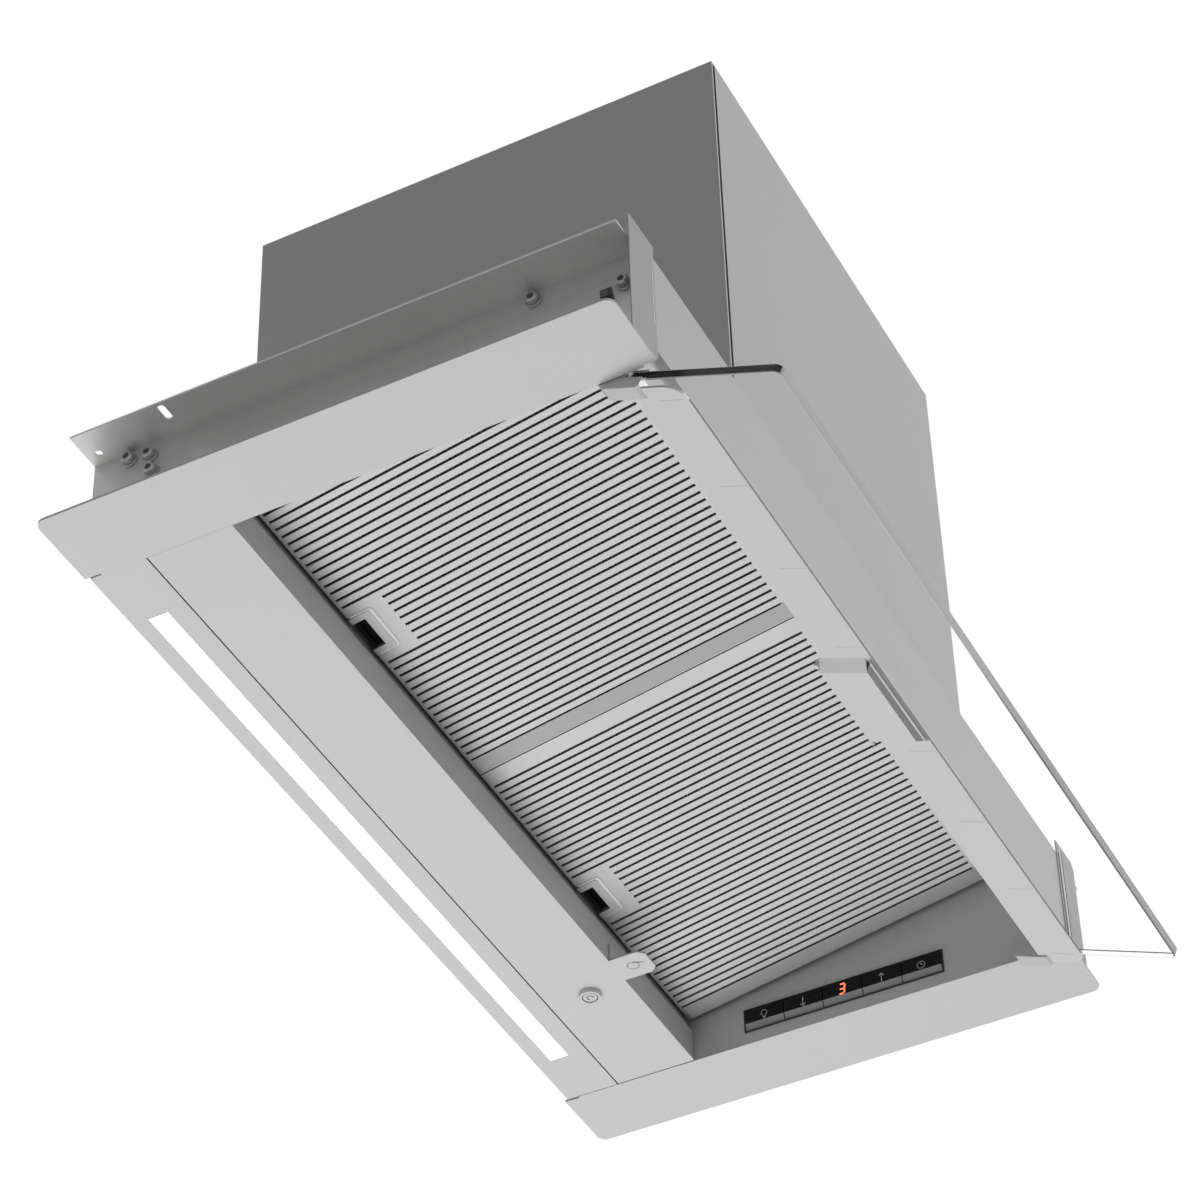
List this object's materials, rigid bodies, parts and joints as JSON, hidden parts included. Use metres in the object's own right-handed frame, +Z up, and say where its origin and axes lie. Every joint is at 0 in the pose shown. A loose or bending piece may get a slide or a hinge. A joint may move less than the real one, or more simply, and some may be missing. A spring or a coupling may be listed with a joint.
{
  "type": "built-in range hood",
  "caption": "Built-in range hood with a folding glass visor, slotted grease filters on a slope, a light strip, side control keys and a boxed blower with a round duct collar.",
  "frame": {"origin": "middle between the two mounting slots, on the upper faces of the side rails' flanges", "axes": "+X along the hood towards the end with the keys, +Y towards the light strip, +Z up along the mounting screws"},
  "size_m": [0.598, 0.3715, 0.4075],
  "materials": {
    "satin_steel": "satin",
    "casing_steel": "satin",
    "recess_steel": "satin",
    "housing_steel": "satin",
    "bolt_steel": "polished",
    "clip_steel": "satin",
    "diffuser": "frosted",
    "led_aluminium": "mill",
    "circuit_board": "matte",
    "driver_plastic": "matte",
    "filter_aluminium": "satin",
    "filter_mesh": "mesh",
    "black_plastic": "matte",
    "key_gloss": "gloss",
    "visor_glass": "clear",
    "ear_metal": "satin",
    "dark_plastic": "matte",
    "collar_plastic": "matte",
    "motor_paint": "satin"
  },
  "bodies": {
    "hood": {"trim_left": "satin_steel", "trim_right": "satin_steel", "casing_deck": "casing_steel", "casing_front_wall": "casing_steel", "casing_rear_wall": "casing_steel", "casing_left_wall": "casing_steel", "casing_right_wall": "casing_steel", "recess_wall_left": "recess_steel", "recess_wall_right": "recess_steel", "plenum_wall": "casing_steel", "filter_shelf": "casing_steel", "mounting_rail_left": "casing_steel", "mounting_rail_right": "casing_steel", "rail_bolts": "bolt_steel", "front_panel": "satin_steel", "front_bracket_left": "satin_steel", "front_bracket_right": "satin_steel", "side_clips": "clip_steel", "light_panel": "satin_steel", "led_diffuser": "diffuser", "led_channel": "led_aluminium", "led_board": "circuit_board", "led_driver": "driver_plastic", "control_bezel": "black_plastic", "control_board": "circuit_board", "hinge_blocks": "dark_plastic", "housing_front": "housing_steel", "housing_rear": "housing_steel", "housing_left": "housing_steel", "housing_right": "housing_steel", "housing_top": "housing_steel", "outlet_collar": "collar_plastic", "flap_pin": "bolt_steel", "blower_scroll": "dark_plastic", "fan_motor": "motor_paint", "motor_plate": "casing_steel", "control_box": "driver_plastic"},
    "tray": {"tray_panel": "satin_steel", "pull_tab": "satin_steel"},
    "lock": {"tray_lock": "satin_steel"},
    "left_filter": {"filter_left": "filter_aluminium", "filter_mesh_left": "filter_mesh"},
    "right_filter": {"filter_right": "filter_aluminium", "filter_mesh_right": "filter_mesh"},
    "left_latch": {"latch_left": "black_plastic"},
    "right_latch": {"latch_right": "black_plastic"},
    "light_key": {"key_light": "key_gloss"},
    "slower_key": {"key_slower": "key_gloss"},
    "power_key": {"key_power": "key_gloss"},
    "faster_key": {"key_faster": "key_gloss"},
    "timer_key": {"key_timer": "key_gloss"},
    "visor": {"visor_glass": "visor_glass", "visor_strip": "satin_steel", "visor_grip": "satin_steel", "visor_ears": "ear_metal", "visor_pins": "satin_steel"},
    "fan": {"fan_wheel": "dark_plastic", "fan_shaft": "bolt_steel"},
    "left_flap": {"flap_left": "dark_plastic"},
    "right_flap": {"flap_right": "dark_plastic"}
  },
  "joints": [
    {"name": "tray_hinge", "type": "hinge", "parent": "hood", "child": "tray", "pos_m": [0, 0.0241, -0.0645], "axis": [1, 0, 0], "range_deg": [0, 75]},
    {"name": "lock_turn", "type": "hinge", "parent": "tray", "child": "lock", "pos_m": [0.168, -0.0014, -0.0648], "axis": [0, 0, 1], "range_deg": [0, 90]},
    {"name": "left_filter_drop", "type": "hinge", "parent": "hood", "child": "left_filter", "pos_m": [-0.126, -0.2115, -0.00029], "axis": [-1, 0, 0], "range_deg": [0, 30]},
    {"name": "right_filter_drop", "type": "hinge", "parent": "hood", "child": "right_filter", "pos_m": [0.126, -0.2115, -0.00029], "axis": [-1, 0, 0], "range_deg": [0, 7.5]},
    {"name": "left_latch_slide", "type": "slide", "parent": "left_filter", "child": "left_latch", "axis": [0, -0.9842, 0.1771], "range_m": [0, 0.0035], "stiffness_N_per_m": 300, "springref_m": -0.002},
    {"name": "right_latch_slide", "type": "slide", "parent": "right_filter", "child": "right_latch", "axis": [0, -0.9842, 0.1771], "range_m": [0, 0.0035], "stiffness_N_per_m": 300, "springref_m": -0.002},
    {"name": "light_key_press", "type": "slide", "parent": "hood", "child": "light_key", "axis": [1, 0, 0], "range_m": [0, 0.001], "stiffness_N_per_m": 500, "springref_m": -0.001},
    {"name": "slower_key_press", "type": "slide", "parent": "hood", "child": "slower_key", "axis": [1, 0, 0], "range_m": [0, 0.001], "stiffness_N_per_m": 500, "springref_m": -0.001},
    {"name": "power_key_press", "type": "slide", "parent": "hood", "child": "power_key", "axis": [1, 0, 0], "range_m": [0, 0.001], "stiffness_N_per_m": 500, "springref_m": -0.001},
    {"name": "faster_key_press", "type": "slide", "parent": "hood", "child": "faster_key", "axis": [1, 0, 0], "range_m": [0, 0.001], "stiffness_N_per_m": 500, "springref_m": -0.001},
    {"name": "timer_key_press", "type": "slide", "parent": "hood", "child": "timer_key", "axis": [1, 0, 0], "range_m": [0, 0.001], "stiffness_N_per_m": 500, "springref_m": -0.001},
    {"name": "visor_hinge", "type": "hinge", "parent": "hood", "child": "visor", "pos_m": [0, -0.234, -0.0598], "axis": [1, 0, 0], "range_deg": [-22, 68]},
    {"name": "fan_spin", "type": "hinge", "parent": "hood", "child": "fan", "pos_m": [0.01115, -0.06255, 0.1252], "axis": [1, 0, 0], "continuous": true},
    {"name": "left_flap_lift", "type": "hinge", "parent": "hood", "child": "left_flap", "pos_m": [0.01115, -0.13324, 0.2884], "axis": [0, 1, 0], "range_deg": [0, 75]},
    {"name": "right_flap_lift", "type": "hinge", "parent": "hood", "child": "right_flap", "pos_m": [0.01115, -0.13324, 0.2884], "axis": [0, -1, 0], "range_deg": [0, 75]}
  ],
  "couplings": [
    {"joint": "right_flap_lift", "follows": "left_flap_lift", "ratio": 1}
  ]
}
